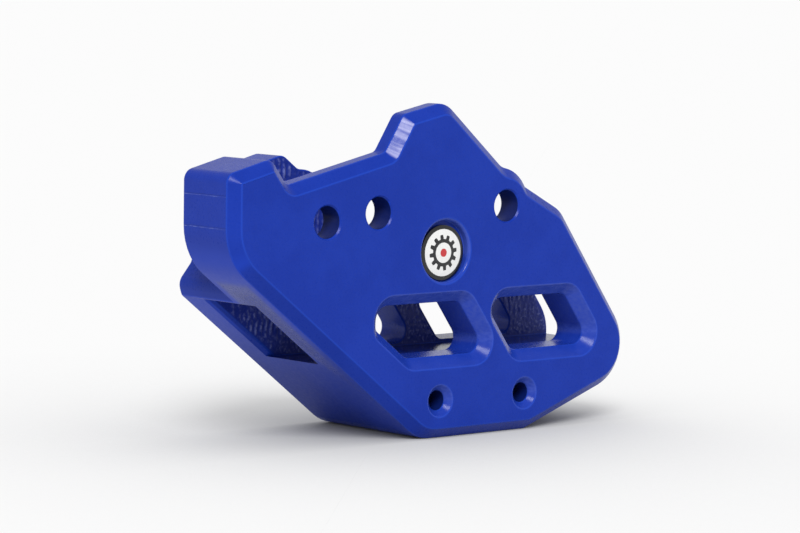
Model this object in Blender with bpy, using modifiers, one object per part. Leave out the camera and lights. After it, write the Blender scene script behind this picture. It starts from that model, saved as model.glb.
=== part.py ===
"""Chain guide for the rear swing arm of a dirt bike, with its round badge.

The guide is milled from one block of low-friction plastic. Its upper part is a slot that straddles the
tab of the swing arm, between a thin near plate and a far fin. Below the slot the chain runs through a
straight tunnel, and two windows in each tunnel wall let mud fall out.

Frame, in metres: +X to the right in the front view, +Y away from the front face, +Z up.
The origin is at the middle of the length and the width, on the flat underside.
"""
import math

import bmesh
import bpy
from mathutils import Matrix, Vector

# Block
LENGTH = 0.1387
WIDTH = 0.0454
EDGE_CHAMFER = 0.0028
CORNER_RADIUS = 0.0031          # small round where two edges of the side view meet

# Lower outline: a slanted face rises to the left from the toe, the nose is round
TOE_FROM_LEFT = 0.06495
TOE_RADIUS = 0.0120
SLANT_ANGLE = 37.8
HEEL_RADIUS = 0.0165
NOSE_HEIGHT = 0.0216
NOSE_RADIUS = 0.0125
UNDER_NOSE_ANGLE = 19.7
REAR_ANGLE = 54.3

# Upper outline: lobe, valley, peak, boss round the third bolt, shoulder
LOBE_CORNER_Z = 0.0722
LOBE_LENGTH = 0.01425
LOBE_TOP_ANGLE = 14.3
VALLEY_FROM_LEFT = 0.01935
VALLEY_Z = 0.0689
VALLEY_RADIUS = 0.0020
PEAK_FOOT_FROM_NOSE = 0.0867
PEAK_FOOT_Z = 0.0763
PEAK_FOOT_RADIUS = 0.0024
PEAK_SIDE_ANGLE = 57.3
PEAK_LEFT_FROM_NOSE = 0.0804
PEAK_RIGHT_FROM_NOSE = 0.06605
PEAK_TOP_ANGLE = 12.0
PEAK_RADIUS = 0.0067
PEAK_REAR_ANGLE = 41.0
PEAK_REAR_RADIUS = 0.0050
BOSS_RADIUS = 0.01005
BOSS_KINK_RADIUS = 0.0010
SHOULDER_FROM_NOSE = 0.02385
SHOULDER_Z = 0.0588
SHOULDER_ANGLE = 27.8
SHOULDER_RADIUS = 0.0085

# Mounting: slot for the tab of the swing arm and the bolt holes across it
PLATE_THICKNESS = 0.0072
LOBE_THICKNESS = 0.0206
SLOT_FLOOR_Z = 0.0460
SLOT_FROM_LEFT = 0.01925
SLOT_CORNER_RADIUS = 0.0060
BOLT_HOLE_DIAMETER = 0.0085
BOLT_1_FROM_LEFT = 0.03080
BOLT_1_Z = 0.0591
BOLT_2_FROM_LEFT = 0.04810
BOLT_2_Z = 0.0608
BOLT_3_FROM_NOSE = 0.04580
BOLT_3_Z = 0.0610
HOLE_EDGE_BREAK = 0.0004

# Far side: tip, fin and ledge
TIP_CORNER_Z = 0.0376           # where the tip's end meets the slanted face
TIP_END_ANGLE = 72.0
TIP_RADIUS = 0.0036
TIP_TOP_ANGLE = 50.0
FIN_FOOT_FROM_LEFT = 0.01945
FIN_FOOT_Z = 0.0461
FIN_SIDE_ANGLE = 70.0
FIN_BURIED_Z = 0.0420           # the fin is drawn down to here, inside the block
FIN_LEFT_RADIUS = 0.0060
FIN_BOSS_RADIUS = 0.0095
FIN_KINK_FROM_BOLT = 0.00076    # the fin's rear edge leaves the boss just left of the bolt
FIN_CREST_FROM_BOLT = 0.0061
FIN_REAR_ANGLE = 37.3
FIN_TOP_ANGLE = 14.5
LEDGE_Z = 0.0490
LEDGE_RADIUS = 0.0050
LEDGE_OVERLAP = 0.0002          # how far the fin's fillet dips into the ledge

# Chain tunnel
CHAIN_WIDTH = 0.0194
CHAIN_HEIGHT = 0.0164
CHAIN_FLOOR_Z = 0.0209
MOUTH_CHAMFER = 0.0012

# Windows in both walls of the tunnel, measured at the outer faces
WINDOW_TOP_Z = 0.0391
WINDOW_BOTTOM_Z = 0.0188
WINDOW_CHAMFER = 0.0030
WINDOW_RADIUS = 0.0064
FIRST_WINDOW_FROM_LEFT = 0.0469
FIRST_WINDOW_TOP_LEFT_RADIUS = 0.0070
FIRST_WINDOW_HEEL_RADIUS = 0.0045
FIRST_WINDOW_WALL = 0.01145     # from the slanted face to the side that runs along it
WEB_LEFT_X = 0.01085            # the web between the windows, along their top edge
WEB_RIGHT_X = 0.0123
SECOND_WINDOW_WALL = 0.00845    # from the rear edge to the side that runs along it

# Countersunk screw holes through the solid underside
SCREW_1_FROM_TOE = 0.00525
SCREW_2_FROM_NOSE = 0.0383
SCREW_Z = 0.01015
SCREW_BORE_DIAMETER = 0.0053
COUNTERSINK_DIAMETER = 0.0087

# Badge and its recess in the front face
BADGE_X = 0.0021
BADGE_Z = 0.04985
RECESS_DIAMETER = 0.0164
RECESS_DEPTH = 0.0024
RECESS_CHAMFER = 0.0006
BADGE_DIAMETER = 0.0146
BADGE_EDGE_THICKNESS = 0.0006
BADGE_DOME = 0.0005
BADGE_DROP = 0.0005             # the badge is glued in a little low
SEAT_GAP = 0.0003

# How finely round shapes are divided
ARC_STEP = math.radians(8.0)
HOLE_SIDES = 48
BADGE_SIDES = 64
DOME_STEPS = 8

# Working distances
PAST = 0.0100                   # reach of a straight cutter past the block
PAST_FACE = 0.0006              # reach of a tapered cutter past the face that it opens
WELD_DISTANCE = 0.00001

FRONT_Y = -WIDTH / 2
BACK_Y = WIDTH / 2
LEFT_X = -LENGTH / 2
NOSE_X = LENGTH / 2
TOE_X = LEFT_X + TOE_FROM_LEFT
PLATE_BACK_Y = FRONT_Y + PLATE_THICKNESS
LOBE_BACK_Y = FRONT_Y + LOBE_THICKNESS
SLOT_LEFT_X = LEFT_X + SLOT_FROM_LEFT
FIRST_BOLT = (LEFT_X + BOLT_1_FROM_LEFT, BOLT_1_Z)
SECOND_BOLT = (LEFT_X + BOLT_2_FROM_LEFT, BOLT_2_Z)
THIRD_BOLT = (NOSE_X - BOLT_3_FROM_NOSE, BOLT_3_Z)
FIN_FOOT = (LEFT_X + FIN_FOOT_FROM_LEFT, FIN_FOOT_Z)


# Points and lines of the side view, where a line is a point and a direction in degrees
def meet(line_a, line_b):
    """The point where two lines cross."""
    (ax, az), angle_a = line_a
    (bx, bz), angle_b = line_b
    ux, uz = math.cos(math.radians(angle_a)), math.sin(math.radians(angle_a))
    vx, vz = math.cos(math.radians(angle_b)), math.sin(math.radians(angle_b))
    along = ((bx - ax) * vz - (bz - az) * vx) / (ux * vz - uz * vx)
    return ax + ux * along, az + uz * along


def beside(line, distance):
    """A line moved to its left by a distance."""
    (x, z), angle = line
    turned = math.radians(angle + 90.0)
    return (x + distance * math.cos(turned), z + distance * math.sin(turned)), angle


def tangent(centre, radius, at_angle):
    """The line that touches a circle where its radius points in the given direction."""
    x = centre[0] + radius * math.cos(math.radians(at_angle))
    z = centre[1] + radius * math.sin(math.radians(at_angle))
    return (x, z), at_angle - 90.0


def corner(line_a, line_b, radius=0.0):
    """A corner of an outline, with its radius."""
    x, z = meet(line_a, line_b)
    return x, z, radius


def rounded(corners):
    """The points of a closed outline whose corners are arcs."""
    points = []
    for index, (x, z, radius) in enumerate(corners):
        here = Vector((x, z))
        before = Vector(corners[index - 1][:2]) - here
        after = Vector(corners[(index + 1) % len(corners)][:2]) - here
        before.normalize()
        after.normalize()
        inside = before.angle(after)
        if radius == 0.0:
            points.append(here)
            continue
        centre = here + (before + after).normalized() * (radius / math.sin(inside / 2))
        start = here + before * (radius / math.tan(inside / 2)) - centre
        turn = math.pi - inside
        if before.cross(after) > 0.0:
            turn = -turn
        steps = max(2, math.ceil(abs(turn) / ARC_STEP))
        for step in range(steps + 1):
            spoke = start.copy()
            spoke.rotate(Matrix.Rotation(turn * step / steps, 2))
            points.append(centre + spoke)
    return points


# The lines of the lower outline
UNDERSIDE = ((0.0, 0.0), 0.0)
SLANT = ((TOE_X, 0.0), 180.0 - SLANT_ANGLE)
NOSE_CENTRE = (NOSE_X - NOSE_RADIUS, NOSE_HEIGHT)
REAR = tangent(NOSE_CENTRE, NOSE_RADIUS, 90.0 - REAR_ANGLE)
UNDER_NOSE = tangent(NOSE_CENTRE, NOSE_RADIUS, UNDER_NOSE_ANGLE - 90.0)


def boss_corner(centre, radius, from_angle, to_angle):
    """The corner whose round follows a circle between two directions from its centre."""
    return corner(tangent(centre, radius, from_angle), tangent(centre, radius, to_angle), radius)


def block_outline():
    """Side view of the block: lobe, valley, peak, boss and shoulder over the lower outline."""
    left_edge = ((LEFT_X, 0.0), 90.0)
    lobe_top = ((LEFT_X, LOBE_CORNER_Z), LOBE_TOP_ANGLE)
    lobe_right = meet(lobe_top, ((LEFT_X + LOBE_LENGTH, 0.0), 90.0))
    valley = (LEFT_X + VALLEY_FROM_LEFT, VALLEY_Z)
    foot = (NOSE_X - PEAK_FOOT_FROM_NOSE, PEAK_FOOT_Z)
    peak_left = meet((foot, PEAK_SIDE_ANGLE), ((NOSE_X - PEAK_LEFT_FROM_NOSE, 0.0), 90.0))
    peak_right = meet((peak_left, PEAK_TOP_ANGLE), ((NOSE_X - PEAK_RIGHT_FROM_NOSE, 0.0), 90.0))
    peak_rear = (peak_right, -PEAK_REAR_ANGLE)
    boss_start, boss_end = 78.0, 33.0
    shoulder = ((NOSE_X - SHOULDER_FROM_NOSE, SHOULDER_Z), -SHOULDER_ANGLE)
    return [
        corner(UNDERSIDE, SLANT, TOE_RADIUS),
        corner(SLANT, left_edge, HEEL_RADIUS),
        corner(left_edge, lobe_top, CORNER_RADIUS),
        (*lobe_right, CORNER_RADIUS),
        (*valley, VALLEY_RADIUS),
        (*foot, PEAK_FOOT_RADIUS),
        (*peak_left, CORNER_RADIUS),
        (*peak_right, PEAK_RADIUS),
        corner(peak_rear, tangent(THIRD_BOLT, BOSS_RADIUS, boss_start), PEAK_REAR_RADIUS),
        boss_corner(THIRD_BOLT, BOSS_RADIUS, boss_start, boss_end),
        corner(tangent(THIRD_BOLT, BOSS_RADIUS, boss_end), shoulder, BOSS_KINK_RADIUS),
        corner(shoulder, REAR, SHOULDER_RADIUS),
        corner(REAR, UNDER_NOSE, NOSE_RADIUS),
        corner(UNDER_NOSE, UNDERSIDE),
    ]


def back_relief():
    """Side view of what is milled away behind the lobe: all above the tip's top and the ledge."""
    tip_top = (FIN_FOOT, TIP_TOP_ANGLE)
    tip_end = (meet(SLANT, ((0.0, TIP_CORNER_Z), 0.0)), -TIP_END_ANGLE)
    ledge = ((0.0, LEDGE_Z), 0.0)
    return [
        corner(tip_end, tip_top, TIP_RADIUS),
        corner(tip_top, ledge),
        (LENGTH, LEDGE_Z, 0.0),
        (LENGTH, LENGTH, 0.0),
        (-LENGTH, LENGTH, 0.0),
        (-LENGTH, 0.0, 0.0),
        corner(tip_end, UNDERSIDE),
    ]


def fin():
    """Side view of the fin, with a boss round the second hole; its lower end is inside the block."""
    fin_side = (FIN_FOOT, FIN_SIDE_ANGLE)
    boss_start, boss_end = 88.0, 0.0
    boss_top = tangent(SECOND_BOLT, FIN_BOSS_RADIUS, boss_start)
    kink = meet(boss_top, ((SECOND_BOLT[0] - FIN_KINK_FROM_BOLT, 0.0), 90.0))
    fin_rear = (kink, -FIN_REAR_ANGLE)
    crest = meet(fin_rear, ((SECOND_BOLT[0] - FIN_CREST_FROM_BOLT, 0.0), 90.0))
    fin_top = (crest, FIN_TOP_ANGLE)
    boss_rear = tangent(SECOND_BOLT, FIN_BOSS_RADIUS, boss_end)
    ledge = ((0.0, LEDGE_Z - LEDGE_OVERLAP), 0.0)
    buried = ((0.0, FIN_BURIED_Z), 0.0)
    foot = meet(boss_rear, ledge)
    fillet = min(LEDGE_RADIUS, SECOND_BOLT[1] - foot[1])
    return [
        corner(buried, fin_side),
        corner(fin_side, fin_top, FIN_LEFT_RADIUS),
        (*crest, CORNER_RADIUS),
        (*kink, CORNER_RADIUS),
        boss_corner(SECOND_BOLT, FIN_BOSS_RADIUS, boss_start, boss_end),
        (*foot, fillet),
        (foot[0] + fillet, foot[1], 0.0),
        (foot[0] + fillet, FIN_BURIED_Z, 0.0),
    ]


WINDOW_TOP = ((0.0, WINDOW_TOP_Z), 0.0)
WINDOW_BOTTOM = ((0.0, WINDOW_BOTTOM_Z), 0.0)


def first_window():
    """Opening of the left window at the face: its lower left side runs along the slanted face."""
    left = ((LEFT_X + FIRST_WINDOW_FROM_LEFT, 0.0), 90.0)
    right = ((WEB_LEFT_X, WINDOW_TOP_Z), -REAR_ANGLE)
    heel = beside(SLANT, -FIRST_WINDOW_WALL)
    return [
        corner(left, WINDOW_TOP, FIRST_WINDOW_TOP_LEFT_RADIUS),
        corner(WINDOW_TOP, right, WINDOW_RADIUS),
        corner(right, WINDOW_BOTTOM, WINDOW_RADIUS),
        corner(WINDOW_BOTTOM, heel, WINDOW_RADIUS),
        corner(heel, left, FIRST_WINDOW_HEEL_RADIUS),
    ]


def second_window():
    """Opening of the right window at the face: a parallelogram that leans like the rear edge."""
    left = ((WEB_RIGHT_X, WINDOW_TOP_Z), -REAR_ANGLE)
    right = beside(REAR, -SECOND_WINDOW_WALL)
    return [
        corner(left, WINDOW_TOP, WINDOW_RADIUS),
        corner(WINDOW_TOP, right, WINDOW_RADIUS),
        corner(right, WINDOW_BOTTOM, WINDOW_RADIUS),
        corner(WINDOW_BOTTOM, left, WINDOW_RADIUS),
    ]


# Solids
def collection(name):
    group = bpy.data.collections.new(name)
    bpy.context.scene.collection.children.link(group)
    return group


def plastic(name, colour, roughness):
    material = bpy.data.materials.new(name)
    material.use_nodes = True
    shader = material.node_tree.nodes["Principled BSDF"]
    shader.inputs["Base Color"].default_value = (*colour, 1.0)
    shader.inputs["Roughness"].default_value = roughness
    shader.inputs["Metallic"].default_value = 0.0
    return material


def solid_outline(name, corners, thickness, chamfer=0.0, inset=0.0):
    """An outline in the XY plane made solid about that plane, with chamfered rims.

    The walls between the chamfers stand on the outline moved inwards by inset.
    """
    curve = bpy.data.curves.new(name, "CURVE")
    curve.dimensions = "2D"
    curve.fill_mode = "BOTH"
    curve.extrude = thickness / 2 - chamfer
    curve.bevel_depth = chamfer
    curve.bevel_resolution = 0
    curve.offset = -chamfer - inset
    points = rounded(corners)
    spline = curve.splines.new("POLY")
    spline.points.add(len(points) - 1)
    for target, point in zip(spline.points, points):
        target.co = (point.x, point.y, 0.0, 1.0)
    spline.use_cyclic_u = True
    drawn = bpy.data.objects.new(name, curve)
    bpy.context.scene.collection.objects.link(drawn)
    bpy.context.view_layer.update()
    mesh = bpy.data.meshes.new_from_object(drawn.evaluated_get(bpy.context.evaluated_depsgraph_get()))
    place = drawn.matrix_world.copy()
    bpy.data.objects.remove(drawn)
    solid = bpy.data.objects.new(name, mesh)
    solid.matrix_world = place
    weld = bmesh.new()
    weld.from_mesh(mesh)
    bmesh.ops.remove_doubles(weld, verts=weld.verts, dist=WELD_DISTANCE)
    bmesh.ops.recalc_face_normals(weld, faces=weld.faces)
    weld.to_mesh(mesh)
    weld.free()
    return solid


def side_slab(name, corners, y_from, y_to, chamfer=0.0, inset=0.0):
    """A solid whose outline is a side view, between two depths.

    Its points are rounded off, so that slabs which share a face have it in exactly one plane.
    """
    slab = solid_outline(name, corners, y_to - y_from, chamfer, inset)
    middle_y = (y_from + y_to) / 2
    for vertex in slab.data.vertices:
        across, up, depth = vertex.co
        vertex.co = [round(value, 7) for value in (across, middle_y - depth, up)]
    return slab


def turned(name, place, profile, sides):
    """A profile turned about an axis along Y.

    The profile holds radii with heights towards the front, and runs from the front to the back.
    """
    mesh = bpy.data.meshes.new(name)
    points = [(radius, 0.0, height) for radius, height in profile]
    mesh.from_pydata(points, [(index, index + 1) for index in range(len(points) - 1)], [])
    shape = bpy.data.objects.new(name, mesh)
    screw = shape.modifiers.new("turned", "SCREW")
    screw.axis = "Z"
    screw.steps = sides
    screw.render_steps = sides
    screw.use_merge_vertices = True
    screw.merge_threshold = WELD_DISTANCE
    shape.rotation_euler = (math.pi / 2, 0.0, 0.0)
    shape.location = (place[0], 0.0, place[1])
    return shape


def hole(name, place, radius, rim_radius, end_height=None):
    """A cutter for a round hole whose rim is opened at 45 degrees.

    It ends flat at a height, or opens at the back face as it does at the front.
    """
    face = WIDTH / 2
    outside = (rim_radius + PAST_FACE, face + PAST_FACE)
    below_rim = (radius, face - (rim_radius - radius))
    profile = [(0.0, outside[1]), outside, below_rim]
    if end_height is None:
        profile += [(reach, -height) for reach, height in reversed(profile)]
    else:
        profile += [(radius, end_height), (0.0, end_height)]
    return turned(name, place, profile, HOLE_SIDES)


def boolean(target, other, operation, cutters):
    """Joins another solid to the target or takes it out, and keeps it hidden with the cutters."""
    cutters.objects.link(other)
    other.hide_render = True
    other.display_type = "WIRE"
    modifier = target.modifiers.new(other.name, "BOOLEAN")
    modifier.operation = operation
    modifier.solver = "EXACT"
    modifier.object = other


def slot_cutter():
    """The slot over the tab, open at the top, the right and behind the lobe."""
    plan = [
        (LENGTH, PLATE_BACK_Y, 0.0),
        (LENGTH, CHAIN_WIDTH / 2, 0.0),
        (SLOT_LEFT_X, CHAIN_WIDTH / 2, 0.0),
        (SLOT_LEFT_X, PLATE_BACK_Y, SLOT_CORNER_RADIUS),
    ]
    cutter = solid_outline("slot_cutter", plan, LENGTH)
    cutter.location = (0.0, 0.0, SLOT_FLOOR_Z + LENGTH / 2)
    return cutter


def tunnel_cutter():
    """The chain's straight way through, with the upright edges of its slanted mouth broken.

    It is drawn in plan with its mouth square, then leaned over like the slanted face.
    """
    lean = 1.0 / math.tan(math.radians(SLANT_ANGLE))
    middle_z = CHAIN_FLOOR_Z + CHAIN_HEIGHT / 2
    mouth_x = TOE_X - middle_z * lean
    inside_x = mouth_x + MOUTH_CHAMFER / math.sin(math.radians(SLANT_ANGLE))
    outside_x = 2 * mouth_x - inside_x
    narrow = CHAIN_WIDTH / 2
    wide = narrow + 2 * MOUTH_CHAMFER
    plan = [
        (outside_x, -wide, 0.0),
        (inside_x, -narrow, 0.0),
        (LENGTH, -narrow, 0.0),
        (LENGTH, narrow, 0.0),
        (inside_x, narrow, 0.0),
        (outside_x, wide, 0.0),
    ]
    cutter = solid_outline("tunnel_cutter", plan, CHAIN_HEIGHT)
    leaning = Matrix.Identity(4)
    leaning[0][2] = -lean
    cutter.data.transform(leaning)
    cutter.location = (0.0, 0.0, middle_z)
    return cutter


def edge_chamfer(name, corners, face_y, depth, widening):
    """A tapered cutter that meets a face on the outline moved outwards by widening.

    It narrows at 45 degrees below the face and reaches a little past the given depth.
    """
    middle_y = math.copysign(WIDTH / 2 + PAST_FACE, face_y)
    reach = depth + 2 * PAST_FACE
    inset = -widening - PAST_FACE
    return side_slab(name, corners, middle_y - reach, middle_y + reach, chamfer=reach, inset=inset)


def guide_body(parts, cutters):
    """The whole guide: the block relieved at the back, the fin on it, then every opening cut."""
    body = side_slab("guide_body", block_outline(), FRONT_Y, BACK_Y, chamfer=EDGE_CHAMFER)
    parts.objects.link(body)
    relief = back_relief()
    relief_rim = edge_chamfer("back_relief_chamfer", relief, BACK_Y, EDGE_CHAMFER, EDGE_CHAMFER)
    boolean(body, side_slab("back_relief", relief, LOBE_BACK_Y, BACK_Y + PAST), "DIFFERENCE", cutters)
    boolean(body, relief_rim, "DIFFERENCE", cutters)
    boolean(body, side_slab("fin", fin(), 0.0, BACK_Y, chamfer=EDGE_CHAMFER), "UNION", cutters)
    cuts = [slot_cutter(), tunnel_cutter()]

    across = (FRONT_Y - PAST, BACK_Y + PAST)
    for name, corners in (("first_window", first_window()), ("second_window", second_window())):
        cuts.append(side_slab(name, corners, *across, inset=WINDOW_CHAMFER))
        cuts.append(edge_chamfer(name + "_front_chamfer", corners, FRONT_Y, WINDOW_CHAMFER, 0.0))
        cuts.append(edge_chamfer(name + "_back_chamfer", corners, BACK_Y, WINDOW_CHAMFER, 0.0))

    bolt = BOLT_HOLE_DIAMETER / 2
    bolt_rim = bolt + HOLE_EDGE_BREAK
    cuts.append(hole("bolt_hole_1", FIRST_BOLT, bolt, bolt_rim))
    cuts.append(hole("bolt_hole_2", SECOND_BOLT, bolt, bolt_rim))
    cuts.append(hole("bolt_hole_3", THIRD_BOLT, bolt, bolt_rim, end_height=0.0))

    screw = SCREW_BORE_DIAMETER / 2
    screw_rim = COUNTERSINK_DIAMETER / 2
    cuts.append(hole("screw_hole_1", (TOE_X + SCREW_1_FROM_TOE, SCREW_Z), screw, screw_rim))
    cuts.append(hole("screw_hole_2", (NOSE_X - SCREW_2_FROM_NOSE, SCREW_Z), screw, screw_rim))

    recess = RECESS_DIAMETER / 2
    floor_height = WIDTH / 2 - RECESS_DEPTH
    cuts.append(hole("badge_recess", (BADGE_X, BADGE_Z), recess, recess + RECESS_CHAMFER, floor_height))

    for cutter in cuts:
        boolean(body, cutter, "DIFFERENCE", cutters)
    joined = body.modifiers.new("joined_corners", "WELD")
    joined.merge_threshold = WELD_DISTANCE
    body.data.materials.append(plastic("blue_plastic", (0.016, 0.055, 0.42), 0.32))


def badge(parts):
    """A flat-backed disc with a slightly domed front, in the middle of its recess but a little low."""
    radius = BADGE_DIAMETER / 2
    back_height = WIDTH / 2 - RECESS_DEPTH + SEAT_GAP
    rim_height = back_height + BADGE_EDGE_THICKNESS
    dome_radius = (radius ** 2 + BADGE_DOME ** 2) / (2 * BADGE_DOME)
    half_angle = math.asin(radius / dome_radius)
    profile = []
    for step in range(DOME_STEPS + 1):
        angle = half_angle * step / DOME_STEPS
        rise = dome_radius * (math.cos(angle) - math.cos(half_angle))
        profile.append((dome_radius * math.sin(angle), rim_height + rise))
    profile += [(radius, back_height), (0.0, back_height)]
    disc = turned("badge", (BADGE_X, BADGE_Z - BADGE_DROP), profile, BADGE_SIDES)
    parts.objects.link(disc)
    disc.data.materials.append(plastic("white_label", (0.85, 0.85, 0.84), 0.25))


def main():
    for old in list(bpy.data.objects):
        bpy.data.objects.remove(old)
    parts = collection("chain_guide")
    cutters = collection("cutters")
    guide_body(parts, cutters)
    badge(parts)


main()
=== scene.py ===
import math
from types import SimpleNamespace

import bmesh
import bpy
import numpy as np
from mathutils import Matrix, Vector
from mathutils.bvhtree import BVHTree
from mathutils.geometry import delaunay_2d_cdt
from mathutils.noise import noise


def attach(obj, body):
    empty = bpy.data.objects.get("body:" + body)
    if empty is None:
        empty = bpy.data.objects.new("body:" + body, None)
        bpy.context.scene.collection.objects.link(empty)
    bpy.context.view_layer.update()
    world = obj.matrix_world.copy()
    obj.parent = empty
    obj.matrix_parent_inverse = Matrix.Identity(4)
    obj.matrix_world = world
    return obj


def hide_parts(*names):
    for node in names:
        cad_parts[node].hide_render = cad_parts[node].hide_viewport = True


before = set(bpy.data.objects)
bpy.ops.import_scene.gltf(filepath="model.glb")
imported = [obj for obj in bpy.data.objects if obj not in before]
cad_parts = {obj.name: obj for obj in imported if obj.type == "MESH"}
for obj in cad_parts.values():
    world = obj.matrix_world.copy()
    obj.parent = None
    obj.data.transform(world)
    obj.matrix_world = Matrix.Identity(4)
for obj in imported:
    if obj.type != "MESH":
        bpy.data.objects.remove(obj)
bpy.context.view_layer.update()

# Camera, fitted to the photograph: the point it aims at, and where it stands round that point
AIM = Vector((-0.01332, -0.02201, 0.04650))
CAMERA_DISTANCE = 0.9452
CAMERA_AZIMUTH = -40.82
CAMERA_ELEVATION = 5.28
CAMERA_ROLL = 0.82
CAMERA_LENS = 163.0
SENSOR_WIDTH = 36.0
CLIP_START = 0.01
CLIP_END = 200.0

# Edges of the block: those that turn sharply are rounded a little, as a deburred edge is
SHARP_ANGLE = 20.0
EDGE_ROUND = 0.00035
EDGE_ROUND_SEGMENTS = 3
ROUND_TRIES = 5
STRAY_DISTANCE = 0.00018
STRAY_REACH = 0.0008
INSIDE_OUT = -0.5
WELD_DISTANCE = 0.000002
FLAT_ANGLE = 0.3
CREASE_ANGLE = 40.0
SHADING_WEIGHT = 100

# Inner side walls, which a long end mill has left rough: their place along Y and the way they face
FAR_WALL = (0.0097, -1)
NEAR_WALL = (-0.0097, 1)
PLATE_BACK = (-0.0155, 1)
LOBE_BACK = (-0.0021, 1)
WALL_SQUARENESS = 0.9999
WALL_FLATNESS = 0.00001
WALL_GRID = 0.00038
WALL_MARGIN = 0.00019
WALL_FADE = 0.0007
RIM_STEP = 1.8 * WALL_GRID
CUT_PRECISION = 1e-9
SHORTEST_SQUARED = 1e-18
FAR_AWAY = 1.0

# Chatter on those walls: a wave along X, strongest in one row above the tunnel's floor, and uneven
# patches, each with its width, its height and its layer of the noise
RIPPLE_LENGTH = 0.00172
RIPPLE_DEPTH = 0.00016
RIPPLE_ROW = 0.0286
RIPPLE_ROW_HEIGHT = 0.0019
RING_ROW = 0.0319
RING_ROW_HEIGHT = 0.0008
RING_SHARE = 0.8
ROW_LOSS = 0.7
ROW_LOSS_START = -0.025
ROW_LOSS_LENGTH = 0.030
SWAY_PATCHES = (0.007, 0.006, 0.0)
SWAY_SHARE = 0.35
BUMP_PATCHES = (0.0007, 0.0016, 3.0)
WEAVE_PATCHES = (0.0005, 0.0005, 7.0)
COARSE_PATCHES = (0.0009, 0.0011, 5.0)
STREAK_PATCHES = (0.0006, 0.004, 11.0)
COARSE_SHARE = 0.5
SLOT_START = 0.0450
SLOT_WAVE = 0.45
SLOT_BUMPS = 1.1
LOW_WEAVE = 1.1
HIGH_STREAKS = 0.7
HIGH_WEAVE = 0.5
# How much painted glint the chatter's crests take, on the slot's walls and in the tunnel
SLOT_GLINT = 1.15
TUNNEL_GLINT = 1.7

# Cuts through the front face, in X and Z: windows as boxes, holes and the badge's recess as circles
WINDOW_BOXES = ((-0.0252, 0.0165, 0.0160, 0.0420), (0.0166, 0.0585, 0.0160, 0.0420))
WINDOW_INNER_Y = 0.0099
BOLT_HOLES = ((-0.03855, 0.0591), (-0.02125, 0.0608), (0.02355, 0.0610))
BOLT_HOLE_REACH = 0.0052
SCREW_HOLES = ((0.00085, 0.01015), (0.03105, 0.01015))
SCREW_HOLE_REACH = 0.0048
RECESS_CENTRE = (0.0021, 0.04985)
RECESS_REACH = 0.0087
RECESS_FROST = 2.0
FACE_TURN = 0.93
BORE_TURN = 0.2

# Regions of the plastic, by place and by the range of the normal over which they fade in or out
TUNNEL_FLOOR_Z = 0.0209
TUNNEL_FLOOR_FADE = (TUNNEL_FLOOR_Z + 0.0003, TUNNEL_FLOOR_Z + 0.0006)
FLOOR_FACING = (0.9, 0.98)
LOBE_END_X = -0.0690
LOBE_END_FACING = (-0.995, -0.97)
SLOPE_FACING_Z = (-0.6, -0.2)
SLOPE_FACING_X = (-0.58, -0.5)
PEAK_CHAMFER_NORMAL = (-0.595, -0.707, 0.382)
PEAK_CHAMFER_FACING = (0.97, 0.995)
PEAK_CHAMFER_FADE = (0.0740, 0.0750)
PEAK_SIDE_ANGLE = 57.3

# Colours of the plastic, and how far each of them covers the one below
DEEP_BLUE = (0.0038, 0.0236, 0.258)
LIGHT_BLUE = (0.0052, 0.0276, 0.284)
# Rounded edges: partly light wear, partly a painted highlight along them
EDGE_HIGHLIGHT_BLUE = (0.012, 0.050, 0.390)
EDGE_HIGHLIGHT_COVER = 0.55
# Painted light: the slanted face lighter and bluer towards its top, darker towards the floor
SLOPE_PAINTED_LIGHT_BLUE = (0.008, 0.042, 0.420)
SLOPE_PAINTED_LIGHT_HEIGHTS = (0.014, 0.036)
SLOPE_PAINTED_LIGHT_COVER = 0.9
FROST_BLUE = (0.034, 0.064, 0.350)
FROST_COVER = (0.5, 1.0)
FROST_UPWARD = (-0.1, 0.35)
FROST_ON_FLOORS = 0.2
# Painted shade: the walls of the holes made dark
BORE_SHADE_BLUE = (0.002, 0.007, 0.066)
BORE_SHADE_COVER = 0.85
WALL_BLUE = (0.016, 0.030, 0.230)
WALL_COVER = 0.85
# Painted glints on the crests of the chatter
GLINT_BLUE = (0.14, 0.17, 0.44)
# Painted highlight on the cutter's streaks along the peak's left chamfer
STREAK_HIGHLIGHT_COLOUR = (0.40, 0.40, 0.60)
STREAK_HIGHLIGHT_COVER = 0.55
SEAM_COLOUR = (0.08, 0.11, 0.38)
SEAM_COVER = 0.35

# Noise in the plastic: its scale, how far it is drawn out, and the range of its value that is used
CLOUD_SCALE = 70.0
CLOUD_SHARE = 0.7
MOTTLE_SCALE = 420.0
MOTTLE_SHARE = 0.3
MOTTLE_DETAIL = 3.0
MOTTLE_RANGE = (0.35, 0.65)
BAND_SCALE = 1500.0
BAND_STRETCH = (0.25, 1.0, 1.0)
BAND_RANGE = (0.3, 0.7)
GLINT_SCALE = 800.0
GLINT_RANGE = (0.35, 0.6)
STREAK_SCALE = 520.0
STREAK_DETAIL = 3.0
STREAK_STRETCH = 0.12
STREAK_RANGE = (0.38, 0.66)
GRAIN_SCALE = 1100.0
GRAIN_RANGE = (0.3, 0.7)
STROKE_SCALE = 800.0
STROKE_STRETCH = (1.0, 0.06, 1.0)
RING_SCALE = 2200.0
RING_STRETCH = (0.1, 1.0, 0.1)

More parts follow.
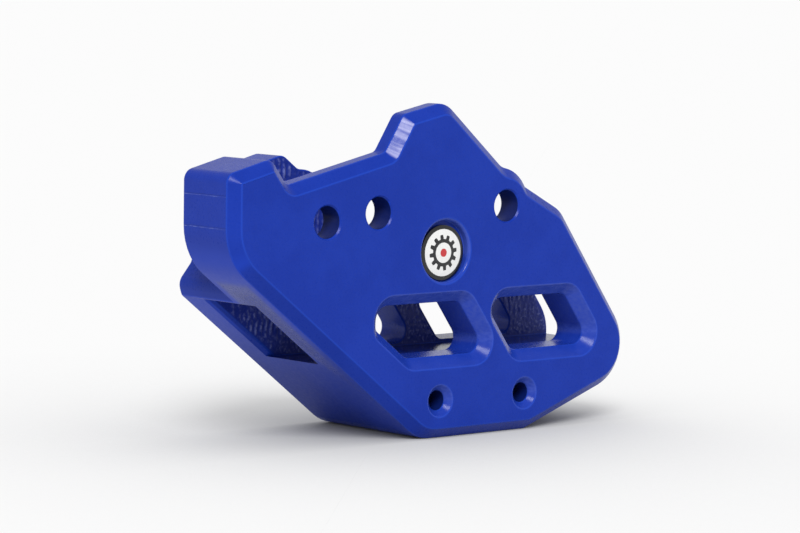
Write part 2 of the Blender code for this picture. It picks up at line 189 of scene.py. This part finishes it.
# Step lines across the lobe's end, each a low ridge in the relief with a painted highlight on it and a line
# of painted shade above it
LOBE_LINE_HEIGHTS = (0.0583, 0.0665)
LINE_WOBBLE = 0.00035
LINE_WOBBLE_SCALE = 260.0
LINE_BREAK_SCALE = 700.0
LINE_BREAK_RANGE = (0.35, 0.65)
LINE_HIGHLIGHT_COVER = (0.1, 0.75)
LINE_RIDGE_REACH = 0.00016
LINE_RIDGE_HIGHLIGHT_COLOUR = (0.13, 0.17, 0.42)
LINE_SHADE_RISE = 0.00028
LINE_SHADE_REACH = 0.00018
LINE_SHADE_COLOUR = (0.002, 0.008, 0.090)
LINE_SHADE_COVER = 0.45

# Line on the slanted face where the cuts from the two sides meet
SEAM_Y = LOBE_BACK[0] - 0.0003
SEAM_REACH = 0.0002

# Shine of the plastic
PLASTIC_SPECULAR = 0.13
PLASTIC_ROUGHNESS = (0.26, 0.33)
BORE_ROUGHER = 0.15
SLOPE_ROUGHER = 0.12
WALL_SMOOTHER = -0.05
WINDOW_SMOOTHER = -0.05
FLOOR_SMOOTHER = -0.13

# Heights of the relief in the plastic's material, in metres
MOTTLE_RELIEF = 0.0000015
LINE_RELIEF = 0.00003
STROKE_RELIEF = 0.000003
RING_RELIEF = 0.00004

# Badge: a glossy printed label
BADGE_CENTRE = (0.0021, 0.04935)
BADGE_RIM_RADIUS = 0.00625
BADGE_RIM_BLUR = 0.00004
WHEEL_RADIUS = 0.0042
WHEEL_TOOTH = 0.00055
WHEEL_TEETH = 12
WHEEL_TOOTH_SLOPE = 0.5
WHEEL_INNER_RADIUS = 0.0027
HUB_RADIUS = 0.0011
PRINT_BLUR = 0.00006
LABEL_ROUGHNESS = 0.12
PAPER_SCALE = 500.0
PAPER_DULL = (0.60, 0.60, 0.59)
PAPER_BRIGHT = (0.68, 0.68, 0.67)
INK_BLACK = (0.008, 0.008, 0.010)
HUB_RED = (0.42, 0.02, 0.025)
RIM_BLACK = (0.006, 0.006, 0.007)

# Stage: a floor that glows a little, a sky that is whitest at the horizon, and one broad light
FLOOR_SIZE = 60.0
FLOOR_GREY = (0.35, 0.35, 0.35, 1.0)
FLOOR_ROUGHNESS = 0.9
FLOOR_GLOW = 0.53
# The floor's glow is dimmed near the part: a painted contact shadow
CONTACT_SHADE = 0.18
CONTACT_POWER = 1.4
HORIZON_WHITE = 0.92
ZENITH_GREY = 0.58
SKY_FADE = (0.0, 0.7)
FRONT = (-0.65, -0.76, 0.0)
FRONT_FADE = (-0.2, 0.7)
FRONT_DIM = 0.15
SKY_WHITE = (1.0, 1.0, 1.0, 1.0)
KEY_DIRECTION = Vector((-0.485, -0.596, 0.638))
KEY_ANGLE = 23.0
KEY_STRENGTH = 3.25


class Graph:
    """Short calls for the nodes of a material or of the world."""

    def __init__(self, tree):
        self.tree = tree

    def put(self, socket, value):
        if isinstance(value, (int, float)):
            socket.default_value = value
        else:
            self.tree.links.new(value, socket)

    def maths(self, operation, first, second=0.0):
        node = self.tree.nodes.new("ShaderNodeMath")
        node.operation = operation
        self.put(node.inputs[0], first)
        self.put(node.inputs[1], second)
        return node.outputs[0]

    def times(self, first, second):
        return self.maths("MULTIPLY", first, second)

    def vector_maths(self, operation, vector, other=(0.0, 0.0, 0.0)):
        node = self.tree.nodes.new("ShaderNodeVectorMath")
        node.operation = operation
        self.tree.links.new(vector, node.inputs[0])
        node.inputs[1].default_value = other
        return node.outputs["Vector" if operation == "MULTIPLY" else "Value"]

    def line(self, value, low, high, to_low=0.0, to_high=1.0):
        """A straight change while the value goes from low to high, and level beyond them."""
        node = self.tree.nodes.new("ShaderNodeMapRange")
        self.put(node.inputs["Value"], value)
        self.put(node.inputs["From Min"], low)
        self.put(node.inputs["From Max"], high)
        self.put(node.inputs["To Min"], to_low)
        self.put(node.inputs["To Max"], to_high)
        return node.outputs["Result"]

    def ramp(self, value, low, high, to_low=0.0, to_high=1.0):
        """The same change with soft ends."""
        result = self.line(value, low, high, to_low, to_high)
        result.node.interpolation_type = "SMOOTHSTEP"
        return result

    def pulse(self, value, centre, reach):
        """1 at the centre, and 0 from the given reach on either side."""
        away = self.maths("ABSOLUTE", self.maths("SUBTRACT", value, centre))
        return self.ramp(away, 0.0, reach, 1.0, 0.0)

    def split(self, vector):
        node = self.tree.nodes.new("ShaderNodeSeparateXYZ")
        self.tree.links.new(vector, node.inputs[0])
        return node.outputs

    def joined(self, first, second):
        node = self.tree.nodes.new("ShaderNodeCombineXYZ")
        self.put(node.inputs["X"], first)
        self.put(node.inputs["Y"], second)
        return node.outputs[0]

    def noise(self, vector, scale, detail=2.0, stretch=None):
        """Noise, drawn out along the axes where the stretch is small."""
        if stretch:
            vector = self.vector_maths("MULTIPLY", vector, stretch)
        node = self.tree.nodes.new("ShaderNodeTexNoise")
        self.tree.links.new(vector, node.inputs["Vector"])
        node.inputs["Scale"].default_value = scale
        node.inputs["Detail"].default_value = detail
        return node.outputs["Fac"]

    def attribute(self, name):
        node = self.tree.nodes.new("ShaderNodeAttribute")
        node.attribute_name = name
        return node.outputs["Fac"]

    def mix(self, share, first, second):
        node = self.tree.nodes.new("ShaderNodeMix")
        node.data_type = "RGBA"
        self.put(node.inputs["Factor"], share)
        for name, colour in (("A", first), ("B", second)):
            if isinstance(colour, tuple):
                node.inputs[name].default_value = (*colour, 1.0)
            else:
                self.tree.links.new(colour, node.inputs[name])
        return node.outputs["Result"]


def new_material(name):
    """A material, its graph and its Principled shader."""
    material = bpy.data.materials.new(name)
    material.use_nodes = True
    return material, Graph(material.node_tree), material.node_tree.nodes["Principled BSDF"]


def camera():
    """The camera, from its azimuth, elevation and roll round the aim."""
    azimuth = math.radians(CAMERA_AZIMUTH)
    elevation = math.radians(CAMERA_ELEVATION)
    roll = math.radians(CAMERA_ROLL)
    back = Vector((
        math.sin(azimuth) * math.cos(elevation),
        -math.cos(azimuth) * math.cos(elevation),
        math.sin(elevation),
    ))
    level_right = Vector((math.cos(azimuth), math.sin(azimuth), 0.0))
    level_up = back.cross(level_right)
    right = level_right * math.cos(roll) + level_up * math.sin(roll)
    up = level_up * math.cos(roll) - level_right * math.sin(roll)
    data = bpy.data.cameras.new("camera")
    data.lens = CAMERA_LENS
    data.sensor_width = SENSOR_WIDTH
    data.clip_start = CLIP_START
    data.clip_end = CLIP_END
    eye = bpy.data.objects.new("camera", data)
    bpy.context.scene.collection.objects.link(eye)
    turn = Matrix((right, up, back)).transposed().to_4x4()
    eye.matrix_world = Matrix.Translation(AIM + back * CAMERA_DISTANCE) @ turn
    bpy.context.scene.camera = eye


def paper_floor():
    """A wide pale floor, darker close to the part, where its glow is also dimmed as a painted contact
    shadow.
    """
    mesh = bpy.data.meshes.new("floor")
    half = FLOOR_SIZE / 2
    corners = [(-half, -half, 0.0), (half, -half, 0.0), (half, half, 0.0), (-half, half, 0.0)]
    mesh.from_pydata(corners, [], [(0, 1, 2, 3)])
    floor = bpy.data.objects.new("floor", mesh)
    bpy.context.scene.collection.objects.link(floor)
    material, graph, shader = new_material("floor_paper")
    shader.inputs["Base Color"].default_value = FLOOR_GREY
    shader.inputs["Roughness"].default_value = FLOOR_ROUGHNESS
    shader.inputs["Specular IOR Level"].default_value = 0.0
    shader.inputs["Emission Strength"].default_value = FLOOR_GLOW
    # Painted contact shadow: the floor's glow dimmed where the part hides the surroundings
    contact = graph.tree.nodes.new("ShaderNodeAmbientOcclusion")
    contact.inputs["Distance"].default_value = CONTACT_SHADE
    glow_with_painted_shadow = graph.maths("POWER", contact.outputs["AO"], CONTACT_POWER)
    graph.put(shader.inputs["Emission Color"], glow_with_painted_shadow)
    mesh.materials.append(material)


def white_sky():
    """White surroundings, greyer overhead and a little dimmer on the camera's side."""
    world = bpy.data.worlds.new("studio")
    bpy.context.scene.world = world
    world.use_nodes = True
    graph = Graph(world.node_tree)
    direction = graph.tree.nodes.new("ShaderNodeTexCoord").outputs["Generated"]
    fade = graph.line(graph.split(direction)["Z"], *SKY_FADE, HORIZON_WHITE, ZENITH_GREY)
    towards = graph.vector_maths("DOT_PRODUCT", direction, FRONT)
    dim = graph.line(towards, *FRONT_FADE, 1.0, 1.0 - FRONT_DIM)
    background = graph.tree.nodes["Background"]
    background.inputs["Color"].default_value = SKY_WHITE
    graph.put(background.inputs["Strength"], graph.times(fade, dim))


def key_light():
    """One broad light from above, on the camera's side."""
    light = bpy.data.lights.new("key", "SUN")
    light.angle = math.radians(KEY_ANGLE)
    light.energy = KEY_STRENGTH
    key = bpy.data.objects.new("key", light)
    bpy.context.scene.collection.objects.link(key)
    key.rotation_euler = (-KEY_DIRECTION).to_track_quat("-Z", "Y").to_euler()


def stage():
    """Floor, surroundings and light, with their colours shown as they are."""
    paper_floor()
    white_sky()
    key_light()
    bpy.context.scene.view_settings.view_transform = "Standard"
    bpy.context.scene.view_settings.look = "None"


def plastic_regions(graph):
    """Where a point of the block is, and how far it belongs to each kind of surface."""
    texture = graph.tree.nodes.new("ShaderNodeTexCoord")
    spot, normal = texture.outputs["Object"], texture.outputs["Normal"]
    x, y, z = graph.split(spot)
    facing_x, _, facing_z = graph.split(normal)
    names = ("wall", "bore", "window", "rounding", "crest")
    at = SimpleNamespace(**{name: graph.attribute(name) for name in names})
    at.spot, at.x, at.y, at.z, at.facing_z = spot, x, y, z, facing_z
    low = graph.ramp(z, *TUNNEL_FLOOR_FADE, 1.0, 0.0)
    at.floor = graph.times(graph.ramp(facing_z, *FLOOR_FACING), low)
    at_end = graph.maths("LESS_THAN", x, LOBE_END_X)
    at.lobe_end = graph.times(graph.ramp(facing_x, *LOBE_END_FACING, 1.0, 0.0), at_end)
    slanted = graph.ramp(facing_z, *SLOPE_FACING_Z, 1.0, 0.0)
    at.slope = graph.times(slanted, graph.ramp(facing_x, *SLOPE_FACING_X, 1.0, 0.0))
    along_chamfer = graph.vector_maths("DOT_PRODUCT", normal, PEAK_CHAMFER_NORMAL)
    high = graph.ramp(z, *PEAK_CHAMFER_FADE)
    at.peak = graph.times(graph.ramp(along_chamfer, *PEAK_CHAMFER_FACING), high)
    cloud = graph.times(graph.noise(spot, CLOUD_SCALE), CLOUD_SHARE)
    specks = graph.times(graph.noise(spot, MOTTLE_SCALE, MOTTLE_DETAIL), MOTTLE_SHARE)
    at.mottle = graph.maths("ADD", cloud, specks)
    return at


def plastic_colour(graph, at):
    """Uneven pigment, greyer on the rough chattered walls, darker in the bores as painted shade, with
    painted highlights along the rounded edges (partly wear), on the slanted face's upper part and on the
    peak chamfer's streaks, and painted glints on the chatter's crests.
    """
    colour = graph.mix(graph.ramp(at.mottle, *MOTTLE_RANGE), DEEP_BLUE, LIGHT_BLUE)
    # Painted highlight along the rounded edges, partly standing for light wear
    colour = graph.mix(graph.times(at.rounding, EDGE_HIGHLIGHT_COVER), colour, EDGE_HIGHLIGHT_BLUE)
    # Painted light on the slanted face, growing towards its top
    slope_painted_light = graph.times(at.slope, graph.ramp(at.z, *SLOPE_PAINTED_LIGHT_HEIGHTS, 0.0, SLOPE_PAINTED_LIGHT_COVER))
    colour = graph.mix(slope_painted_light, colour, SLOPE_PAINTED_LIGHT_BLUE)
    bands = graph.noise(at.spot, BAND_SCALE, stretch=BAND_STRETCH)
    frost = graph.times(at.window, graph.ramp(bands, *BAND_RANGE, *FROST_COVER))
    frost = graph.times(frost, graph.ramp(at.facing_z, *FROST_UPWARD, 1.0, FROST_ON_FLOORS))
    colour = graph.mix(frost, colour, FROST_BLUE)
    # Painted shade inside the holes
    colour = graph.mix(graph.times(at.bore, BORE_SHADE_COVER), colour, BORE_SHADE_BLUE)
    colour = graph.mix(graph.times(at.wall, WALL_COVER), colour, WALL_BLUE)
    # Painted glints: paler specks on the chatter's crests
    glint = graph.times(at.crest, graph.ramp(graph.noise(at.spot, GLINT_SCALE), *GLINT_RANGE))
    colour = graph.mix(glint, colour, GLINT_BLUE)

    # Streaks that the cutter left on the peak's left chamfer, painted pale as the highlight that the light
    # makes on them
    lean = math.radians(PEAK_SIDE_ANGLE)
    climb = graph.maths("ADD", graph.times(at.x, math.cos(lean)), graph.times(at.z, math.sin(lean)))
    along = graph.joined(climb, graph.times(at.y, STREAK_STRETCH))
    streaks = graph.ramp(graph.noise(along, STREAK_SCALE, STREAK_DETAIL), *STREAK_RANGE, 0.0, STREAK_HIGHLIGHT_COVER)
    return graph.mix(graph.times(at.peak, streaks), colour, STREAK_HIGHLIGHT_COLOUR)


def lobe_lines(graph, at, colour, height):
    """Draws the step lines on the lobe's end into the relief, and into the colour as a painted highlight on
    each ridge and a line of painted shade above it.
    """
    wobble = graph.times(graph.noise(at.spot, LINE_WOBBLE_SCALE), LINE_WOBBLE)
    broken = graph.ramp(graph.noise(at.spot, LINE_BREAK_SCALE), *LINE_BREAK_RANGE, *LINE_HIGHLIGHT_COVER)
    for line in LOBE_LINE_HEIGHTS:
        above_line = graph.maths("SUBTRACT", graph.maths("ADD", at.z, wobble), line + LINE_WOBBLE / 2)
        ridge = graph.times(graph.pulse(above_line, 0.0, LINE_RIDGE_REACH), at.lobe_end)
        shade = graph.times(graph.pulse(above_line, LINE_SHADE_RISE, LINE_SHADE_REACH), at.lobe_end)
        # Painted shade above each ridge, then a painted highlight on the ridge
        colour = graph.mix(graph.times(shade, LINE_SHADE_COVER), colour, LINE_SHADE_COLOUR)
        colour = graph.mix(graph.times(ridge, broken), colour, LINE_RIDGE_HIGHLIGHT_COLOUR)
        height = graph.maths("ADD", height, graph.times(ridge, LINE_RELIEF))
    return colour, height


def plastic_roughness(graph, at):
    """Satin, rougher in the bores and on the slanted face, smoother on the walls and the tunnel's floor."""
    rough = graph.ramp(graph.noise(at.spot, GRAIN_SCALE), *GRAIN_RANGE, *PLASTIC_ROUGHNESS)
    for region, change in (
        (at.bore, BORE_ROUGHER),
        (at.slope, SLOPE_ROUGHER),
        (at.wall, WALL_SMOOTHER),
        (at.window, WINDOW_SMOOTHER),
        (at.floor, FLOOR_SMOOTHER),
    ):
        rough = graph.maths("ADD", rough, graph.times(region, change))
    return rough


def blue_plastic():
    """Milled low-friction plastic: saturated blue and satin, with the marks that the tools left, some with
    painted highlight and shade.
    """
    material, graph, shader = new_material("blue_plastic_milled")
    shader.inputs["Specular IOR Level"].default_value = PLASTIC_SPECULAR
    at = plastic_regions(graph)
    colour = plastic_colour(graph, at)
    colour, height = lobe_lines(graph, at, colour, graph.times(at.mottle, MOTTLE_RELIEF))
    seam = graph.times(graph.pulse(at.y, SEAM_Y, SEAM_REACH), at.slope)
    colour = graph.mix(graph.times(seam, SEAM_COVER), colour, SEAM_COLOUR)
    graph.put(shader.inputs["Base Color"], colour)
    graph.put(shader.inputs["Roughness"], plastic_roughness(graph, at))

    # Relief: lines across the slanted face, and lines round the bolt holes
    strokes = graph.times(graph.noise(at.spot, STROKE_SCALE, stretch=STROKE_STRETCH), at.slope)
    height = graph.maths("ADD", height, graph.times(strokes, STROKE_RELIEF))
    rings = graph.times(graph.noise(at.spot, RING_SCALE, stretch=RING_STRETCH), at.bore)
    height = graph.maths("ADD", height, graph.times(rings, RING_RELIEF))
    bump = graph.tree.nodes.new("ShaderNodeBump")
    bump.inputs["Distance"].default_value = 1.0
    graph.put(bump.inputs["Height"], height)
    graph.put(shader.inputs["Normal"], bump.outputs[0])
    return material


def label_material():
    """Glossy label: a toothed wheel with a red hub on a white field, inside a black rim."""
    material, graph, shader = new_material("label_print")
    shader.inputs["Roughness"].default_value = LABEL_ROUGHNESS
    spot = graph.tree.nodes.new("ShaderNodeTexCoord").outputs["Object"]
    x, _, z = graph.split(spot)
    across = graph.maths("SUBTRACT", x, BADGE_CENTRE[0])
    above = graph.maths("SUBTRACT", z, BADGE_CENTRE[1])
    away = graph.vector_maths("LENGTH", graph.joined(across, above))

    turn = graph.maths("ARCTAN2", above, across)
    tooth = graph.maths("SINE", graph.times(turn, WHEEL_TEETH))
    tooth = graph.ramp(tooth, -WHEEL_TOOTH_SLOPE, WHEEL_TOOTH_SLOPE, -WHEEL_TOOTH, WHEEL_TOOTH)
    past_wheel = graph.maths("SUBTRACT", away, graph.maths("ADD", tooth, WHEEL_RADIUS))
    wheel = graph.ramp(past_wheel, -PRINT_BLUR, PRINT_BLUR, 1.0, 0.0)
    inner_low, inner_high = WHEEL_INNER_RADIUS - PRINT_BLUR, WHEEL_INNER_RADIUS + PRINT_BLUR
    wheel = graph.times(wheel, graph.ramp(away, inner_low, inner_high))
    hub = graph.ramp(away, HUB_RADIUS - PRINT_BLUR, HUB_RADIUS + PRINT_BLUR, 1.0, 0.0)
    rim = graph.ramp(away, BADGE_RIM_RADIUS - BADGE_RIM_BLUR, BADGE_RIM_RADIUS + BADGE_RIM_BLUR)

    colour = graph.mix(graph.noise(spot, PAPER_SCALE), PAPER_DULL, PAPER_BRIGHT)
    colour = graph.mix(wheel, colour, INK_BLACK)
    colour = graph.mix(hub, colour, HUB_RED)
    colour = graph.mix(rim, colour, RIM_BLACK)
    graph.put(shader.inputs["Base Color"], colour)
    return material


def joined_faces(node):
    """The block's mesh with its corners welded and its flat faces in one piece."""
    shape = bmesh.new()
    shape.from_mesh(node.data)
    for name in ("rounding", "crest"):
        shape.verts.layers.float.new(name)
    for name in ("wall", "bore", "window"):
        shape.faces.layers.float.new(name)
    bmesh.ops.remove_doubles(shape, verts=shape.verts, dist=WELD_DISTANCE)
    bmesh.ops.dissolve_limit(
        shape, angle_limit=math.radians(FLAT_ANGLE), verts=shape.verts, edges=shape.edges
    )
    return shape


def stray_places(shape, surface):
    """Where a rounded mesh has left its surface or has a face turned inside out."""
    places = []
    for vertex in shape.verts:
        if surface.find_nearest(vertex.co)[3] > STRAY_DISTANCE:
            places.append(vertex.co.copy())
    for face in shape.faces:
        centre = face.calc_center_median()
        if surface.find_nearest(centre)[1].dot(face.normal) < INSIDE_OUT:
            places.append(centre)
    return places


def sharp_edges(shape, kept_sharp):
    """The edges to round: those that turn sharply and end nowhere near a corner that stays sharp."""
    sharp = []
    for edge in shape.edges:
        if edge.calc_face_angle() < math.radians(SHARP_ANGLE):
            continue
        start, end = (vertex.co for vertex in edge.verts)
        if not any(
            min((start - place).length, (end - place).length) < STRAY_REACH for place in kept_sharp
        ):
            sharp.append(edge)
    return sharp


def rounded_block(node):
    """The block with its sharp edges rounded, save where a corner leaves no room for it."""
    kept_sharp = []
    for attempt in range(ROUND_TRIES):
        shape = joined_faces(node)
        if attempt == 0:
            surface = BVHTree.FromBMesh(shape)
        made = bmesh.ops.bevel(
            shape, geom=sharp_edges(shape, kept_sharp), offset=EDGE_ROUND, offset_type="OFFSET",
            affect="EDGES", segments=EDGE_ROUND_SEGMENTS, profile=0.5, clamp_overlap=False,
        )
        found = stray_places(shape, surface)
        if not found or attempt == ROUND_TRIES - 1:
            rounding = shape.verts.layers.float["rounding"]
            strip = set(made["faces"])
            for vertex in shape.verts:
                vertex[rounding] = float(all(face in strip for face in vertex.link_faces))
            return shape
        kept_sharp += found
        shape.free()


def patches(x, z, width, height, layer):
    """Smooth random values, between about -1 and 1, in patches of the given width and height."""
    return noise(Vector((x / width, z / height, layer)))


def chatter(x, z):
    """Height of the tool's chatter on an inner side wall, in metres."""
    sway = patches(x, z, *SWAY_PATCHES)
    wave = math.sin(2.0 * math.pi * (x / RIPPLE_LENGTH + SWAY_SHARE * sway))
    if z > SLOT_START:
        bumps = patches(x, z, *BUMP_PATCHES)
        return RIPPLE_DEPTH * (SLOT_WAVE * wave + SLOT_BUMPS * bumps)
    row = math.exp(-(((z - RIPPLE_ROW) / RIPPLE_ROW_HEIGHT) ** 2))
    row *= 1.0 - ROW_LOSS * min(1.0, max(0.0, (x - ROW_LOSS_START) / ROW_LOSS_LENGTH))
    ring = math.exp(-(((z - RING_ROW) / RING_ROW_HEIGHT) ** 2))
    weave = patches(x, z, *WEAVE_PATCHES) + COARSE_SHARE * patches(x, z, *COARSE_PATCHES)
    height = wave * row - RING_SHARE * wave * ring
    if z < RIPPLE_ROW:
        height += LOW_WEAVE * weave * (1.0 - row)
    else:
        streaks = patches(x, z, *STREAK_PATCHES)
        height += HIGH_STREAKS * streaks * (1.0 - row) + HIGH_WEAVE * weave * (1.0 - row)
    return RIPPLE_DEPTH * height


def split_long_edge(edge, longest):
    """Halves an edge until no part of it is longer than the given length."""
    parts = [edge]
    while parts:
        part = parts.pop()
        if part.calc_length() > longest:
            other, _ = bmesh.utils.edge_split(part, part.verts[0], 0.5)
            parts += [part, other]


def wall_rim(shape, wall):
    """The faces of a flat inner wall, and the edges round them."""
    level, facing = wall
    faces = [
        face for face in shape.faces
        if face.normal.y * facing > WALL_SQUARENESS
        and abs(face.calc_center_median().y - level) < WALL_FLATNESS
    ]
    chosen = set(faces)
    rim = [
        edge for face in faces for edge in face.edges
        if sum(1 for other in edge.link_faces if other in chosen) == 1
    ]
    return faces, rim


def inside_and_distance(points, starts, ends):
    """Whether each point lies within a rim, and how far from it."""
    within = np.zeros(len(points), bool)
    nearest = np.full(len(points), FAR_AWAY)
    for (ax, az), (bx, bz) in zip(starts, ends):
        crosses = (az > points[:, 1]) != (bz > points[:, 1])
        if az != bz:
            at = ax + (points[:, 1] - az) * (bx - ax) / (bz - az)
            within ^= crosses & (points[:, 0] < at)
        squared = max((bx - ax) ** 2 + (bz - az) ** 2, SHORTEST_SQUARED)
        share = ((points[:, 0] - ax) * (bx - ax) + (points[:, 1] - az) * (bz - az)) / squared
        share = np.clip(share, 0.0, 1.0)
        away = np.hypot(points[:, 0] - ax - share * (bx - ax), points[:, 1] - az - share * (bz - az))
        nearest = np.minimum(nearest, away)
    return within, nearest


def wall_grid(starts, ends):
    """Points in staggered rows within a rim, and how far each of them is from it."""
    low, high = starts.min(axis=0), starts.max(axis=0)
    columns = np.arange(low[0] + WALL_GRID / 2, high[0], WALL_GRID)
    rows = np.arange(low[1] + WALL_GRID / 2, high[1], WALL_GRID)
    across, up = np.meshgrid(columns, rows)
    across[1::2] += WALL_GRID / 2
    grid = np.column_stack((across.ravel(), up.ravel()))
    within, nearest = inside_and_distance(grid, starts, ends)
    chosen = within & (nearest > WALL_MARGIN)
    return grid[chosen], nearest[chosen]


def roughen_wall(shape, wall):
    """Gives a flat inner wall a fine mesh, and moves its points by the chatter."""
    level, facing = wall
    _, rim = wall_rim(shape, wall)
    for edge in rim:
        split_long_edge(edge, RIM_STEP)
    faces, rim = wall_rim(shape, wall)
    corners = list({vertex: None for edge in rim for vertex in edge.verts})
    number = {vertex: index for index, vertex in enumerate(corners)}
    starts = np.array([(edge.verts[0].co.x, edge.verts[0].co.z) for edge in rim])
    ends = np.array([(edge.verts[1].co.x, edge.verts[1].co.z) for edge in rim])
    grid, nearest = wall_grid(starts, ends)

    flat = [Vector((vertex.co.x, vertex.co.z)) for vertex in corners] + [Vector(point) for point in grid]
    fences = [(number[edge.verts[0]], number[edge.verts[1]]) for edge in rim]
    points, _, triangles, origins, _, _ = delaunay_2d_cdt(flat, fences, [], 1, CUT_PRECISION)
    middles = np.array([
        [sum(points[i][axis] for i in triangle) / 3.0 for axis in (0, 1)] for triangle in triangles
    ])
    within, _ = inside_and_distance(middles, starts, ends)
    depths = [chatter(x, z) * min(1.0, away / WALL_FADE) for (x, z), away in zip(grid, nearest)]
    rough = shape.faces.layers.float["wall"]
    crest = shape.verts.layers.float["crest"]
    vertices = []
    for point, sources in zip(points, origins):
        source = sources[0] if sources else -1
        if 0 <= source < len(corners):
            vertices.append(corners[source])
            continue
        depth = depths[source - len(corners)] if sources else 0.0
        vertex = shape.verts.new((point.x, level + facing * depth, point.y))
        # Each new point keeps its share of painted glint, larger the higher it stands on the chatter
        shine = SLOT_GLINT if point.y > SLOT_START else TUNNEL_GLINT
        vertex[crest] = min(1.0, max(0.0, shine * depth / RIPPLE_DEPTH))
        vertices.append(vertex)
    bmesh.ops.delete(shape, geom=faces, context="FACES_KEEP_BOUNDARY")
    for triangle, keep in zip(triangles, within):
        if keep:
            face = shape.faces.new([vertices[i] for i in triangle])
            face[rough] = 1.0
            face.normal_update()
            if face.normal.y * facing < 0.0:
                face.normal_flip()


def mark_cuts(shape):
    """Notes which faces belong to a hole, a window or the badge's recess."""
    bore = shape.faces.layers.float["bore"]
    window = shape.faces.layers.float["window"]
    for face in shape.faces:
        if abs(face.normal.y) > FACE_TURN:
            continue
        centre = face.calc_center_median()
        place = (centre.x, centre.z)
        for left, right, low, high in WINDOW_BOXES:
            if left < centre.x < right and low < centre.z < high and abs(centre.y) > WINDOW_INNER_Y:
                face[window] = 1.0
        if math.dist(place, RECESS_CENTRE) < RECESS_REACH:
            face[window] = RECESS_FROST
        if any(math.dist(place, hole) < BOLT_HOLE_REACH for hole in BOLT_HOLES):
            face[bore] = float(abs(face.normal.y) < BORE_TURN)
        if any(math.dist(place, hole) < SCREW_HOLE_REACH for hole in SCREW_HOLES):
            face[bore] = float(abs(face.normal.y) < BORE_TURN)
            face[window] = 1.0 - face[bore]


def fine_body(node, material):
    """The block as milled: the same solid with rounded edges and chattered inner walls."""
    shape = rounded_block(node)
    for wall in (FAR_WALL, NEAR_WALL, PLATE_BACK, LOBE_BACK):
        roughen_wall(shape, wall)
    bmesh.ops.dissolve_degenerate(shape, dist=WELD_DISTANCE, edges=shape.edges)
    shape.normal_update()
    mark_cuts(shape)
    for edge in shape.edges:
        edge.smooth = len(edge.link_faces) == 2 and edge.calc_face_angle() < math.radians(CREASE_ANGLE)
    mesh = bpy.data.meshes.new("milled_block")
    shape.to_mesh(mesh)
    shape.free()
    mesh.materials.append(material)
    for polygon in mesh.polygons:
        polygon.use_smooth = True
    block = bpy.data.objects.new("milled_block", mesh)
    bpy.context.scene.collection.objects.link(block)
    shading = block.modifiers.new("shading", "WEIGHTED_NORMAL")
    shading.mode = "FACE_AREA"
    shading.weight = SHADING_WEIGHT
    shading.keep_sharp = True
    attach(block, "root")
    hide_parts("guide_body")


camera()
stage()
fine_body(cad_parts["guide_body"], blue_plastic())
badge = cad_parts["badge"]
badge.data.materials.clear()
badge.data.materials.append(label_material())
